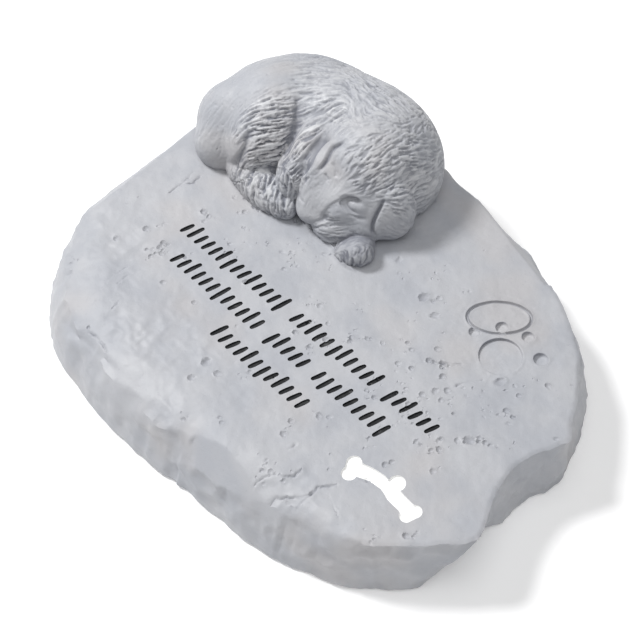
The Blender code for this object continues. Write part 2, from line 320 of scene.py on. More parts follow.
def stoneFinish(name, grainDepth):
    finish = Finish(name)
    patches = finish.noise(stonePaint["patch"], 4.0)
    warmth = finish.noise(stonePaint["patch"] * 1.7, 2.0, shift=(0.31, 0.17, 0.05)).between(0.50, 0.68)
    tone = finish.mix(patches.between(0.35, 0.65), stonePaint["pale"], stonePaint["cool"])
    tone = finish.mix(warmth * stonePaint["warmShare"], tone, stonePaint["warm"])
    specks = finish.noise(stonePaint["grain"] * 2, 2.0).between(0.60, 0.78)
    # the specks are the stone's own dark grain
    tone = finish.mix(specks * stonePaint["speckShare"], tone, stonePaint["paintedLight"])
    # the attribute holds painted shade, and below nothing painted highlight
    paintedLight = finish.attribute("paintedLight")
    paintedShade = (paintedLight * stonePaint["paintedShadeShare"]).between(0.0, 1.0)
    tone = finish.mix(paintedShade, tone, stonePaint["paintedLight"])
    # painted highlight where the attribute is below nothing
    tone = finish.mix((paintedLight * -1.0).between(0.0, 1.2), tone, stonePaint["worn"])
    rough = stonePaint["roughness"] + (patches - 0.5) * 0.18 + paintedLight * 0.12
    grain = finish.noise(stonePaint["grain"], 3.0, 0.6)
    swell = finish.noise(stonePaint["swell"], 3.0)
    normal = finish.bump(swell, stonePaint["swellDepth"], 0.7)
    normal = finish.bump(grain, grainDepth, 0.6, below=normal)
    return finish.set(Base_Color=tone, Roughness=rough, Normal=normal, Specular_IOR_Level=stonePaint["gloss"])


paints = {
    "black": {"fresh": (0.010, 0.011, 0.013), "worn": (0.045, 0.047, 0.054)},
    "white": {"fresh": (0.93, 0.93, 0.925), "worn": (0.80, 0.81, 0.83)},
}


def blackPaint():
    finish = Finish("glossy black paint")
    thin = finish.noise(1.1).between(0.55, 0.8)
    tone = finish.mix(thin * 0.5, paints["black"]["fresh"], paints["black"]["worn"])
    rough = finish.noise(1.8, 2.0) * 0.30 + 0.16
    normal = finish.bump(finish.noise(0.9, 2.0), 0.10, 0.6)
    return finish.set(Base_Color=tone, Roughness=rough, Normal=normal, Specular_IOR_Level=0.6)


def whitePaint():
    finish = Finish("matt white paint")
    thin = finish.noise(2.4, 4.0).between(0.62, 0.80)
    tone = finish.mix(thin * 0.4, paints["white"]["fresh"], paints["white"]["worn"])
    rough = finish.noise(1.5, 2.0) * 0.2 + 0.5
    normal = finish.bump(finish.noise(0.7, 2.0), 0.05, 0.5)
    return finish.set(Base_Color=tone, Roughness=rough, Normal=normal)


# Puppy: smooth solid forms that flow into each other, measured by their distance

puppy = {
    "place": (-55.0, 43.7, 29.0),  # middle of the puppy, sunk a little into the slab
    "cell": 0.40,  # mesh size
    "low": (-48.0, -34.0, -3.0),  # corners of the box that the mesh is looked for in
    "high": (63.0, 46.0, 46.0),
    "base": -2.1,  # flat end inside the slab
    "triangles": 192000,  # kept after the mesh is made lighter
    "foldShade": ((2.2, 0.42), (8.0, 0.15)),  # soft painted shade in the folds: reach and share
    "paintedShade": 0.58,  # painted shadow of the head on the paw under the chin
    "pawShadeReach": (10.0, 6.5),  # from its end to none and to all of it
    "noseHighlight": 0.45,  # painted highlight on the bridge of the nose
    "noseHighlightLine": ((2.5, -21.5), (12.0, -11.0)),
    "noseHighlightWidth": 3.0,
    "noseHighlightRise": (8, 14),  # it begins between these heights
    # how widely neighbours flow together: a small width leaves a fold between them
    "flow": {"leg": 6, "hip": 9, "shoulder": 14, "ribs": 5, "foreleg": 7, "lap": 1.5, "cheek": 6,
             "muzzle": 3, "nose": 5, "socket": 1.5, "lid": 0.8, "neck": 6, "ear": 7.0, "crease": 1.0,
             "paw": 6, "belly": 2.0},
    # forms: centre, radii, turns in degrees
    "arch": ((-1, 15, 8), (43, 26, 31.2), (0, 0, 0)),
    "shoulder": ((21.0, 17, 11.5), (31, 26, 28.5), (0, 0, -8)),
    "rump": ((-20, 1, 12), (26, 25, 27.5), (0, 0, 20)),
    "flank": ((-31, -11, 13), (17, 15, 19), (0, 0, 20)),
    "hock": ((-30.6, -20.4, 7.5), (11.5, 10, 13), (0, 0, 35)),
    "thigh": ((-13, -8, 15), (14.5, 19.5, 21), (0, 0, -14)),
    "ribs": ((7, 0, 12), (12, 24, 22), (0, 0, 4)),
    "skull": ((25.5, 8, 19), (22, 23, 22), (0, 0, -25)),
    "brow": ((29, -8, 15), (14, 13, 12.5), (0, 0, 0)),
    "rightEar": ((47.4, -1.4, 13.7), (5.5, 10, 12.6), (0, -16, -42)),
    "tail": ((-6, -22, 5), (22, 9, 9.5), (0, 0, -6)),
    "belly": ((-2, -13, 0), (14, 9, 12), (0, 0, 0)),
    # limbs: both ends with their radii
    "muzzle": ((17.5, -9.8, 23.8, 8.0), (21.2, -20.0, 9.6, 5.8)),
    "bridge": ((22.2, -6.6, 23.6, 8.0), (24.6, -18.4, 9.6, 5.6)),
    "otherFlews": ((23, -6, 17, 8.5), (18.0, -16.5, 8.5, 6.2)),
    "jaw": ((39.5, -9.5, 8, 8.5), (31, -17.5, 4.5, 6.6)),
    "foreleg": ((13.5, 15, 27, 7.0), (8.9, -10.6, 17.2, 4.6)),
    "paw": ((43, -12.5, 3.5, 5.0), (47.4, -18.9, 4.2, 6.0)),
    "toe": ((38.5, -16, 1.0, 4.0), (42.6, -21.6, 1.4, 4.8)),
    # small forms that face the camera: right, up and towards it, radii, turn on the picture
    "flews": ((10.0, -22.0, 24.0), (9.0, 6.5, 6.5), 20),
    "socket": ((17.7, -18.9, 41.2), (6.8, 3.9, 4.6), -32),
    "lid": ((18.7, -17.9, 36.3), (4.4, 2.5, 2.8), -32),
}


def turned(points, centre, turns):
    x, y, z = np.radians(turns)
    cx, sx, cy, sy, cz, sz = math.cos(x), math.sin(x), math.cos(y), math.sin(y), math.cos(z), math.sin(z)
    turnX = np.array(((1, 0, 0), (0, cx, -sx), (0, sx, cx)))
    turnY = np.array(((cy, 0, sy), (0, 1, 0), (-sy, 0, cy)))
    turnZ = np.array(((cz, -sz, 0), (sz, cz, 0), (0, 0, 1)))
    return (points - np.array(centre, float)) @ (turnZ @ turnY @ turnX)


def ball(points, form):
    # distance to a ball with three radii, by its name or its numbers
    centre, radii, turns = puppy[form] if isinstance(form, str) else form
    local = turned(points, centre, turns)
    radii = np.array(radii, float)
    near = np.sqrt(((local / radii) ** 2).sum(-1))
    slope = np.sqrt(((local / radii ** 2) ** 2).sum(-1)) + 1e-9
    return near * (near - 1) / slope


def limb(points, name):
    # distance to a round bar that gets thinner
    start, end = (np.array(part, float) for part in puppy[name])
    along = end[:3] - start[:3]
    share = np.clip((points - start[:3]) @ along / (along @ along), 0, 1)
    away = points - start[:3] - share[..., None] * along
    return np.sqrt((away * away).sum(-1)) - (start[3] + (end[3] - start[3]) * share)


def blend(a, b, width):
    # two distances become one form, with a soft valley of this width
    mixed = np.maximum(width - np.abs(a - b), 0) / width
    return np.minimum(a, b) - mixed ** 3 * width / 6


def carve(a, b, width):
    return -blend(-a, b, width)


def seenAxes():
    # right and up in the picture, and the way to the camera
    back = directionFrom(view["azimuth"], view["elevation"])
    turn = math.radians(view["azimuth"])
    right = np.array((math.cos(turn), math.sin(turn), 0.0))
    return right, np.cross(back, right), back


def seenBall(points, name):
    centre, radii, turn = puppy[name]
    right, up, back = seenAxes()
    turn = math.radians(turn)
    along = right * math.cos(turn) + up * math.sin(turn)
    across = np.cross(back, along)
    local = points - (right * centre[0] + up * centre[1] + back * centre[2])
    local = np.stack((local @ along, local @ across, local @ back), axis=-1)
    return ball(local, ((0, 0, 0), radii, (0, 0, 0)))


def puppySkin(points):
    # distance to the puppy's skin, negative inside
    flow = puppy["flow"]
    thigh = ball(points, "rump")
    for name in ("flank", "hock", "thigh"):
        thigh = blend(thigh, ball(points, name), flow["leg"])
    arch, shoulder = ball(points, "arch"), ball(points, "shoulder")
    thigh = blend(thigh, arch, flow["hip"])
    back = blend(blend(arch, shoulder, flow["shoulder"]), ball(points, "ribs"), flow["ribs"])
    back = blend(back, limb(points, "foreleg"), flow["foreleg"])
    body = blend(thigh, back, flow["lap"])
    skull = blend(ball(points, "skull"), ball(points, "brow"), flow["cheek"])
    cheek = blend(blend(skull, limb(points, "jaw"), flow["cheek"]), seenBall(points, "flews"), flow["cheek"])
    muzzle = limb(points, "muzzle")
    for name in ("bridge", "otherFlews"):
        muzzle = blend(muzzle, limb(points, name), flow["muzzle"])
    head = blend(cheek, blend(muzzle, skull, flow["nose"]), flow["crease"])
    head = carve(head, seenBall(points, "socket"), flow["socket"])
    head = blend(head, seenBall(points, "lid"), flow["lid"])
    head = blend(blend(head, shoulder, flow["neck"]), ball(points, "rightEar"), flow["ear"])
    paw = blend(limb(points, "paw"), limb(points, "toe"), flow["paw"])
    skin = body
    for form in (head, paw, ball(points, "tail")):
        skin = blend(skin, form, flow["crease"])
    return blend(skin, ball(points, "belly"), flow["belly"])


def surfaceNet(values, low, cell):
    # skin of a field of distances: one point in every cell that the surface crosses
    below = values < 0
    size = np.array(values.shape) - 1
    count = np.zeros(size, np.uint8)
    for i, j, k in itertools.product((0, 1), repeat=3):
        count += below[i:i + size[0], j:j + size[1], k:k + size[2]]
    active = (count > 0) & (count < 8)
    cells = np.argwhere(active)
    number = np.full(size, -1)
    number[active] = np.arange(len(cells))
    total = np.zeros((len(cells), 3))
    hits = np.zeros(len(cells))
    units = np.eye(3, dtype=int)
    for axis, a, b in itertools.product(range(3), (0, 1), (0, 1)):
        start = cells + a * units[(axis + 1) % 3] + b * units[(axis + 2) % 3]
        first = values[tuple(start.T)]
        second = values[tuple((start + units[axis]).T)]
        crossed = (first < 0) != (second < 0)
        share = first[crossed] / (first[crossed] - second[crossed])
        total[crossed] += start[crossed] + share[:, None] * units[axis]
        hits[crossed] += 1
    points = np.array(low) + cell * total / hits[:, None]
    faces = []
    for axis in range(3):
        u, v = units[(axis + 1) % 3], units[(axis + 2) % 3]
        start = np.argwhere(np.diff(below.astype(np.int8), axis=axis) != 0)
        start = start[(start[:, (axis + 1) % 3] > 0) & (start[:, (axis + 2) % 3] > 0)]
        start = start[(start[:, (axis + 1) % 3] < size[(axis + 1) % 3])
                      & (start[:, (axis + 2) % 3] < size[(axis + 2) % 3])]
        corners = [number[tuple((start - p * u - q * v).T)] for p, q in ((1, 1), (0, 1), (0, 0), (1, 0))]
        quads = np.stack(corners, axis=1)
        outward = below[tuple(start.T)]
        quads[~outward] = quads[~outward][:, ::-1]
        faces.append(quads)
    return points, np.concatenate(faces)


def fieldNear(field, low, high, cell, jump=4):
    # distances on a grid, exact near the skin and coarse further off
    axes = [np.arange(a, b, cell) for a, b in zip(low, high)]
    grid = np.stack(np.meshgrid(*axes, indexing="ij"), axis=-1)
    values = field(grid[::jump, ::jump, ::jump])
    for axis in range(3):
        values = np.repeat(values, jump, axis=axis)
    values = values[:grid.shape[0], :grid.shape[1], :grid.shape[2]].copy()
    near = np.abs(values) < cell * jump * 2.2  # more than the diagonal of a coarse cell
    values[near] = field(grid[near])
    return values


def puppyBody(points):
    # the skin, closed by a flat base inside the slab
    return np.maximum(puppySkin(points), puppy["base"] - points[..., 2])


def slopes(points, field, step=0.2):
    made = [field(points + step * unit) - field(points - step * unit) for unit in np.eye(3)]
    normal = np.stack(made, axis=1)
    return normal / (np.linalg.norm(normal, axis=1)[:, None] + 1e-9)


# How the coat lies in the picture: right and up from the puppy's middle, direction in degrees, strength
coat = (
    (-15, 36, 35, 0.18), (-34, 20, 38, 0.15), (-25, 30, 30, 0.12), (-15, 20, 12, 1.1), (-6, 22, 12, 1.0),
    (-17, 10.5, 14, 1.4), (-24, 13.4, 25, 1.1), (-17, 2.4, 12, 1.4), (-26, -2.5, 45, 1.1),
    (-33, 3.6, 60, 0.12), (-42, 3.6, 60, 0.05), (-24, -8.7, -118, 1.0), (-17, -8.7, -113, 1.1),
    (-17, -13.6, -110, 1.0), (-9.4, -8.7, -108, 1.1), (-8.5, -14.8, -112, 1.0), (1.3, 28, 8, 0.8),
    (-1.6, 18.3, 15, 0.7), (-2, 11.8, 30, 1.1), (-3.6, 3.6, 42, 1.1), (-3.6, -5.8, 48, 1.2),
    (8.4, 30.9, -5, 0.7), (10.5, 19.9, 20, 0.9), (19, 19.9, -80, 0.45), (19, 32.2, -65, 0.75),
    (30.9, 28.9, -50, 0.8), (36.2, 21.6, -55, 0.6), (43.1, 16.6, 45, 0.6), (24.8, 10.9, 30, 0.5),
    (30.9, 5.6, 30, 0.55), (40.3, 7.7, 20, 0.7), (21.5, -2.5, 38, 0.65), (15.8, 2.4, 40, 0.5),
    (13.4, 5.6, 35, 0.3), (32.1, -3, 25, 0.65), (41.1, -0.5, 5, 0.7), (22.7, -8.7, 35, 0.85),
    (32.9, -6.2, 30, 0.7), (35, -12.8, 10, 0.7), (47.2, -12.8, 0, 0.6), (32, -25, -60, 0.25),
    (39.4, -24.4, -45, 0.3), (4.4, -9.9, 40, 0.4), (-1.8, -15.6, 45, 0.3), (12.2, -24.4, 20, 0.5),
    (6.2, -28.4, 10, 0.6), (18.6, -18, 0, 0.0), (24.2, -24.4, 10, 0.1), (3.4, 4.4, 60, 0.05),
    (8.6, -4, 60, 0.05), (2.2, -9.6, 45, 0.2), (21, -38, -110, 0.5), (17, -40, -110, 0.5),
    (14, -19, 0, 0.0), (21.5, -20, 0, 0.0), (23.5, -21, 0, 0.1), (15, -22.5, 0, 0.05), (11, -18, 30, 0.1),
    (1.5, -13, 45, 0.12), (6, -14.5, 45, 0.12), (-1.5, -20, 45, 0.15), (3, -19, 40, 0.08),
    (6.5, -10, 50, 0.08), (8, -24, 30, 0.7), (11, -28, 20, 0.7), (15.5, -27.5, 20, 0.3), (8, -31, 5, 0.6),
    (17, -31, 10, 0.25), (35, -19, -15, 0.6), (20, -27, 0, 0.05), (23.5, -29, 0, 0.05),
)
fur = {
    "length": (4.2, 2.4),  # of one stroke on the body and on the head
    "head": (8, 18),  # where the head begins, right in the picture
    "width": 0.68,
    "smears": 9,  # steps of one stroke
    "sway": ((0.32, 4.5, 3),),  # how the strokes wander: radians, cell and seed of the noise
    "uneven": ((0.35, 6.0, 9),),  # the same for their strength
    "limit": 2.2,  # of the tallest strokes
    "steepness": 1.6,
    "ridge": 0.34,
    "furrow": 0.36,
    "furrowRange": (0.1, 1.3),  # where a low place counts as a furrow
    "ridgeRange": (0.2, 1.5),
    "shadeAndHighlight": 0.75,  # painted shade in the furrows and painted highlight on the ridges
    "smoothRange": (0.15, 0.4),  # strength under which the coat counts as smooth
    "dent": (0.22, 1.1, 61),  # small dents where it is smooth
    "ripple": ((0.06, 0.85, 62),),
}


def seenPlace(points):
    right, up, _ = seenAxes()
    return np.stack((points @ right, points @ up), axis=1)


def coatLocks(points, normals):
    # strokes of fur: random values smeared along the way that the coat lies
    right, up, _ = seenAxes()
    seen = seenPlace(points)
    spots = np.array(coat, float)
    share = 1 / (((seen[:, None, :] - spots[None, :, :2]) ** 2).sum(-1) + 3.0) ** 2
    share /= share.sum(1)[:, None]
    angle = np.radians(spots[:, 2])
    ahead = share @ np.stack((np.cos(angle), np.sin(angle)), axis=1)
    strength = share @ spots[:, 3]
    strength *= layered(points, fur["uneven"], 1.0)
    sway = layered(points, fur["sway"])
    ahead = np.stack(rotated(*ahead.T, sway), axis=1)
    way = ahead[:, :1] * right + ahead[:, 1:] * up
    way -= (way * normals).sum(1)[:, None] * normals
    way /= np.linalg.norm(way, axis=1)[:, None] + 1e-9
    long, short = fur["length"]
    length = long + (short - long) * smoothStep(seen[:, 0], *fur["head"])
    total = np.zeros(len(points))
    for step in np.linspace(-0.5, 0.5, fur["smears"]):
        total += noise(points + way * (step * length)[:, None], fur["width"], 11)
    return np.clip(total / total.std(), -fur["limit"], fur["limit"]), strength


# Lines pressed into the puppy, right and up in the picture: points, depth and the widths on both sides
creases = {
    "thigh": (((-4.9, 29), (-4.5, 24), (-4.7, 19.2), (-6.1, 12.9), (-8.1, 7.4), (-10.1, 1.7), (-13.1, -2.9)),
              1.3, 2.2, 1.2),
    "hock": (((-24, 14.5), (-25.3, 9), (-26.6, 5.3), (-29.3, 1.9), (-33.9, -2.2)), 1.5, 2.0, 1.1),
    "bridge": (((14.2, -15.2), (10.1, -17), (7, -19), (5.4, -21.7), (4.8, -25.8)), 0.7, 2.4, 0.5),
    "nose": (((-0.1, -24.9), (2.3, -26), (4.8, -26)), 0.8, 0.5, 0.8),
    "brow": (((12.6, -18.4), (13.2, -16.4), (14.9, -15.2), (17.1, -15.1), (19.5, -16), (21.9, -17.8)),
             0.8, 0.4, 1.0),
    "lash": (((15.2, -20.8), (18.0, -22.3), (20.6, -22.9), (24.6, -23.2)), 0.8, 0.7, 0.6),
    "other lash": (((6.2, -5.1), (7, -7.1), (8.2, -8.9)), 0.7, 0.6, 0.4),
    "other lid": (((8.5, -1), (9.9, -3.4), (10.5, -5.8), (10.1, -8.1)), 0.8, 1.8, 0.5),
    "ear fold": (((14.7, 6.7), (11.7, 6), (8.9, 4.4), (7.6, 2.4), (6.6, -0.3), (4.6, -3.4), (2.5, -6.2)),
                 1.7, 1.3, 0.55),
    "ear": (((30.2, -14.5), (28.5, -18.5), (26.8, -21.9), (25.7, -25.3), (25.8, -28.3), (27.8, -30.6)),
            1.9, 0.5, 1.2),
    "thigh foot": (((-23.2, -2.2), (-19.1, -3.7), (-14.7, -3.9), (-10.5, -4.0), (-8.0, -1.8), (-6.8, 1.3)),
                   0.8, 3.0, 0.8),
    "ear edge": (((10.1, 9.4), (5.8, 6.8), (2.9, 3.2), (0.9, -0.8), (-1.1, -4.5), (-2.1, -7.3)),
                 1.8, 0.5, 3.0),
    "ear end": (((-2.5, -7.9), (-0.5, -7.1), (0.7, -6.4)), 0.5, 0.5, 0.5),
    "whiskers": (((-4.1, -11.6), (-3.3, -15), (-0.9, -17)), 0.35, 0.6, 0.4),
}
creaseFade = 0.22  # share of a line's length where it dies away
creaseShade = (0.25, 0.4)  # painted shade for each millimetre pressed, and the most


def smoothLine(points, steps=5):
    # an open curve through the points
    points = np.asarray(points, float)
    padded = np.concatenate((points[:1] * 2 - points[1:2], points, points[-1:] * 2 - points[-2:-1]))
    return smoothLoop(padded, steps)[steps:-2 * steps]


def alongLine(points, line):
    # distance to a line, the side of it (left is positive) and how far along it
    best = np.full(len(points), 1e9)
    side = np.zeros(len(points))
    place = np.zeros(len(points))
    for i, (start, end) in enumerate(zip(line[:-1], line[1:])):
        along = end - start
        share = np.clip((points - start) @ along / (along @ along), 0, 1)
        away = points - start - share[:, None] * along
        far = np.hypot(away[:, 0], away[:, 1])
        near = far < best
        best[near] = far[near]
        side[near] = (along[0] * away[:, 1] - along[1] * away[:, 0])[near]
        place[near] = (i + share[near]) / (len(line) - 1)
    return best, side, place


def pressed(points, normals):
    # how deep the lines are pressed
    seen = seenPlace(points)
    facing = smoothStep(normals @ seenAxes()[2], 0.0, 0.3)
    total = np.zeros(len(points))
    for line, depth, left, other in creases.values():
        far, side, place = alongLine(seen, smoothLine(line))
        width = np.where(side > 0, left, other)
        ends = smoothStep(np.minimum(place, 1 - place), 0.0, creaseFade)
        total += depth * ends * bell(far, width) * facing
    return total


def furRelief(points, locks, strength, furrow, press):
    # how far the skin rises or sinks
    lift = strength * (fur["ridge"] * np.tanh(fur["steepness"] * locks) - fur["furrow"] * furrow)
    lift = lift * np.exp(-press) - press
    lift *= smoothStep(points[:, 2], -1.0, 1.0)  # nothing below the top of the slab
    smooth = 1 - smoothStep(strength, *fur["smoothRange"])
    depth, cell, seed = fur["dent"]
    dents = smoothStep(noise(points, cell, seed), 0.55, 0.85)
    return lift - smooth * (depth * dents + layered(points, fur["ripple"]))


def puppyShade(points, normals, locks, strength, furrow, press):
    # painted shade in the furrows, creases and folds and on the paw under the chin, and painted highlight
    # with values below nothing
    # painted shade in the furrows and painted highlight on the ridge tops
    paintedLight = strength * (fur["shadeAndHighlight"] * furrow - fur["shadeAndHighlight"] * smoothStep(locks, *fur["ridgeRange"]))
    paintedLight += np.clip(press * creaseShade[0], 0, creaseShade[1])
    # painted shade where other skin or the slab lies close in front of the surface
    for reach, share in puppy["foldShade"]:
        outer = points + normals * reach
        shade = 1 - np.minimum(puppySkin(outer), outer[:, 2]) / reach
        paintedLight += share * smoothStep(shade, 0.1, 0.95)
    # painted shadow of the head on the paw
    pawReach, pawCore = puppy["pawShadeReach"]
    paw = smoothStep(-np.linalg.norm(points - puppy["paw"][1][:3], axis=1), -pawReach, -pawCore)
    # painted highlight along the bridge of the nose
    nose = lineDistance(seenPlace(points), puppy["noseHighlightLine"])
    worn = bell(nose, puppy["noseHighlightWidth"]) * smoothStep(points[:, 2], *puppy["noseHighlightRise"])
    return np.clip(paintedLight + puppy["paintedShade"] * paw - puppy["noseHighlight"] * worn, -0.8, 0.9)


def makePuppy(material):
    low, cell = np.array(puppy["low"]), puppy["cell"]
    points, faces = surfaceNet(fieldNear(puppyBody, low, puppy["high"], cell), low, cell)
    normals = slopes(points, puppySkin)
    locks, strength = coatLocks(points, normals)
    furrow = smoothStep(-locks, *fur["furrowRange"])
    press = pressed(points, normals)
    points = points + normals * furRelief(points, locks, strength, furrow, press)[:, None]
    paintedLight = puppyShade(points, normals, locks, strength, furrow, press)
    piece = newPiece("sleeping_puppy", points + puppy["place"], faces, [material], paintedLight=paintedLight)
    lighten(piece, puppy["triangles"])
    smoothShaded(piece)
    return piece


def lighten(piece, target):
    # fewer triangles where the form is plain
    change = piece.modifiers.new("lighten", "DECIMATE")
    change.ratio = target / sum(len(face.vertices) - 2 for face in piece.data.polygons)
    solved = piece.evaluated_get(bpy.context.evaluated_depsgraph_get())
    piece.data = bpy.data.meshes.new_from_object(solved)
    piece.modifiers.clear()
    print(piece.name, "has", len(piece.data.polygons), "faces")


# Slab

slab = {
    "length": 220.0,
    "depth": 176.0,
    "thickness": 30.0,
    "roll": 1.8,  # width of the worn edge
    "drop": 0.7,  # how far it falls
    "frontRoll": 14.0,  # the same along the front, added
    "frontDrop": 2.9,
    "cornerCut": ((110.2, -36.2, 28.5), (0.911, 0.079, -0.415)),  # a place on the cut and its normal
    "cornerReach": 26,
    "groove": ((-72.7, -76, 21), (-62.5, -77.7, 23.5), (-53.5, -77.4, 25), (-45.5, -78.3, 26.6),
               (-37, -79, 28.3)),
    "grooveDepth": 1.6,
    "grooveWidth": 1.5,
    "grooveWay": (0.35, 0.55, -0.75),  # into the stone
    "footRound": 2.0,
    "swells": ((0.30, 17.0, 21), (0.20, 6.0, 22), (0.10, 2.4, 23), (0.06, 1.3, 24)),
    "frontFrom": (30, 75),  # where the broken front begins and where it is full, towards the viewer
    "frontSide": (-95, -60),  # and from the right to the left
    "frontSlant": 0.25,
    "brokenAreas": ((1.0, 13.0, 27),),
    "broken": ((1.2, 8.0, 25), (0.5, 3.2, 26)),
    "edgeInset": 0.35,
    "ragged": ((0.3, 2.2, 5), (0.25, 6.0, 6)),
    "sideSwells": ((0.3, 9.0, 51),),
    "sideRidges": ((0.55, 4.5, 52), (0.25, 2.0, 53)),
    "level": -0.35,  # the top lies this much lower, so that swells stay inside
    "grid": 0.85,  # distance between the points of the top
    "fineGrid": 0.42,  # the same round the print, in a box and a circle
    "fineBox": ((36, 16), (84, 60)),
    "fineMiddle": (59, 38),
    "fineRadius": 21.0,
    "edgeSteps": 14,  # points between two points of the outline
    "rings": 26,
    "chipReach": 45,
    "scallops": 190,
    "scallopDepth": 1.7,
    "scallopSize": 60,  # squared reach
}
# Rim of the top in shares of half the length and half the depth, and the foot's flare in shares of thickness
outline = (
    (-0.985, -0.28, 0.09), (-0.93, -0.47, 0.22), (-0.85, -0.61, 0.33), (-0.745, -0.73, 0.38),
    (-0.62, -0.82, 0.36), (-0.48, -0.865, 0.33), (-0.36, -0.90, 0.30), (-0.18, -0.91, 0.29),
    (-0.05, -0.92, 0.24), (0.04, -0.89, 0.30), (0.17, -0.92, 0.19), (0.33, -0.865, 0.32),
    (0.46, -0.83, 0.33), (0.60, -0.805, 0.24), (0.73, -0.76, 0.14), (0.82, -0.66, 0.13),
    (0.915, -0.54, 0.10), (0.993, -0.405, 0.02), (0.955, -0.27, 0.04), (0.918, -0.15, 0.10),
    (0.905, -0.03, 0.13), (0.92, 0.06, 0.13), (0.955, 0.16, 0.10), (0.968, 0.23, 0.05),
    (0.923, 0.31, 0.10), (0.88, 0.41, 0.16), (0.81, 0.53, 0.20), (0.725, 0.625, 0.20),
    (0.595, 0.735, 0.20), (0.455, 0.81, 0.20), (0.33, 0.875, 0.16), (0.20, 0.88, 0.16),
    (0.10, 0.918, 0.13), (-0.035, 0.93, 0.13), (-0.155, 0.96, 0.11), (-0.29, 0.98, 0.05),
    (-0.43, 0.985, 0.03), (-0.565, 0.965, 0.06), (-0.70, 0.91, 0.10), (-0.81, 0.795, 0.10),
    (-0.89, 0.635, 0.10), (-0.945, 0.455, 0.10), (-0.977, 0.28, 0.06), (-0.963, 0.11, 0.06),
    (-0.98, -0.08, 0.06),
)
# Share of the flare at each height, in shares of the thickness
flareRise = ((0.0, 1.0), (0.067, 1.0), (0.36, 0.85), (0.66, 0.55), (0.86, 0.22), (0.96, 0.0), (1.0, 0.0))
# Chisel cuts along the upper edge: outline point, turn, tilt, bite
chips = (
    (2, 5, 34, 0.04), (4, -6, 48, 0.03), (7, 8, 40, 0.03), (10, 10, 40, 0.05), (12, -8, 48, 0.05),
    (14, -4, 30, 0.05), (26, -5, 52, 0.05), (29, 8, 46, 0.05), (32, -6, 50, 0.05), (43, 4, 46, 0.05),
)


def rimAndFoot():
    size = np.array((slab["length"], slab["depth"])) / 2
    rim = np.array([row[:2] for row in outline]) * size
    flare = np.array([row[2] for row in outline]) * slab["thickness"]
    rim = smoothLoop(rim, slab["edgeSteps"])
    flare = smoothLoop(flare[:, None], slab["edgeSteps"])
    along = np.roll(rim, -1, axis=0) - np.roll(rim, 1, axis=0)
    outward = np.stack((along[:, 1], -along[:, 0]), axis=1)
    outward /= np.linalg.norm(outward, axis=1)[:, None]
    for _ in range(12):  # an even turn of the directions round the rim
        outward = outward + np.roll(outward, 1, axis=0) + np.roll(outward, -1, axis=0)
        outward /= np.linalg.norm(outward, axis=1)[:, None]
    ragged = layered(rim, slab["ragged"], slab["edgeInset"])
    rim = rim - outward * ragged[:, None]
    return rim, rim + outward * flare, outward


inscription = {
    "place": (4.0, -26.5),  # middle of the second row
    "height": 6.4,
    "pitch": 4.2,
    "lean": 1.9,
    "rowPitch": 13.0,
    "width": 2.0,
    "endWidth": 1.7,
    "depth": 0.7,
    "wall": 0.32,
    "rise": 0.25,  # a tall stroke's extra height, in shares
    "drop": 0.25,
    "words": ((0, -17, -4), (0, -2, 8), (0, 10, 15), (1, -15, -4), (1, -2, 2), (1, 4, 12), (2, -6, 5)),
}
pawPrint = {
    "pad": (63.5, 29.0),
    "padRadius": 8.5,
    "padDepth": 1.3,
    "padLean": (0.86, -0.51),  # the way that the pad gets shallower
    "light": (0.95, -0.3),  # painted shade lies on the far side from here
    "recessShade": 0.7,
    "toeDepth": 1.6,
    "toeWall": 1.1,  # how far a toe's bowl takes to reach its depth
    "lip": 0.14,
    "lipReach": 0.45,
    "toes": ((48.9, 30.4, 2.3), (55.0, 39.6, 2.6), (65.2, 43.2, 2.6), (75.4, 38.7, 3.0)),
    "wall": 0.22,
}
halo = {"place": (51.3, 42.2), "length": 25.0, "width": 15.0, "groove": 1.5, "turn": 43.0, "depth": 1.0,
        "lip": 0.22, "recessShade": 0.55}
bone = {"place": (71.2, -43.7), "length": 34.5, "depth": 0.85, "wall": 0.25}


def strokeOutlines():
    made = []
    for row, first, last in inscription["words"]:
        base = inscription["place"][1] + (1 - row) * inscription["rowPitch"] - inscription["height"] / 2
        for i in range(first, last + 1):
            rise = inscription["rise"] if (i + row) % 4 == 0 else 0.0
            drop = inscription["drop"] if (3 * i + row) % 7 == 2 else 0.0
            x = inscription["place"][0] + i * inscription["pitch"] - inscription["lean"] / 2
            foot = np.array((x, base - drop * inscription["height"]))
            head = np.array((x + inscription["lean"], base + (1 + rise) * inscription["height"]))
            made.append(strokeShape(foot, head))
    return made


def strokeShape(foot, head):
    # a brush stroke: rounded ends and a fuller middle
    end, full = inscription["endWidth"] / 2, inscription["width"] / 2
    along = (head - foot) / np.linalg.norm(head - foot)
    side = np.array((-along[1], along[0]))
    low, high = foot + along * end, head - along * end
    angle = math.degrees(math.atan2(along[1], along[0]))
    points = arc(low, end, angle + 90, angle + 270, 5)
    flank = [(low + (high - low) * t, side * (end + (full - end) * math.sin(math.pi * t)))
             for t in (0.2, 0.35, 0.5, 0.65, 0.8)]
    points += [tuple(middle - out) for middle, out in flank]
    points += arc(high, end, angle - 90, angle + 90, 5)
    points += [tuple(middle + out) for middle, out in reversed(flank)]
    return np.array(points)


def toeOutlines():
    return [np.array(arc((x, y), radius, 0, 345, 24)) for x, y, radius in pawPrint["toes"]]


def padOutline():
    return np.array(arc(pawPrint["pad"], pawPrint["padRadius"], 0, 355, 64))


def haloLine():
    angles = np.linspace(0, 2 * math.pi, 96, endpoint=False)
    x, y = halo["length"] / 2 * np.cos(angles), halo["width"] / 2 * np.sin(angles)
    return np.stack(rotated(x, y, math.radians(halo["turn"])), axis=1) + halo["place"]


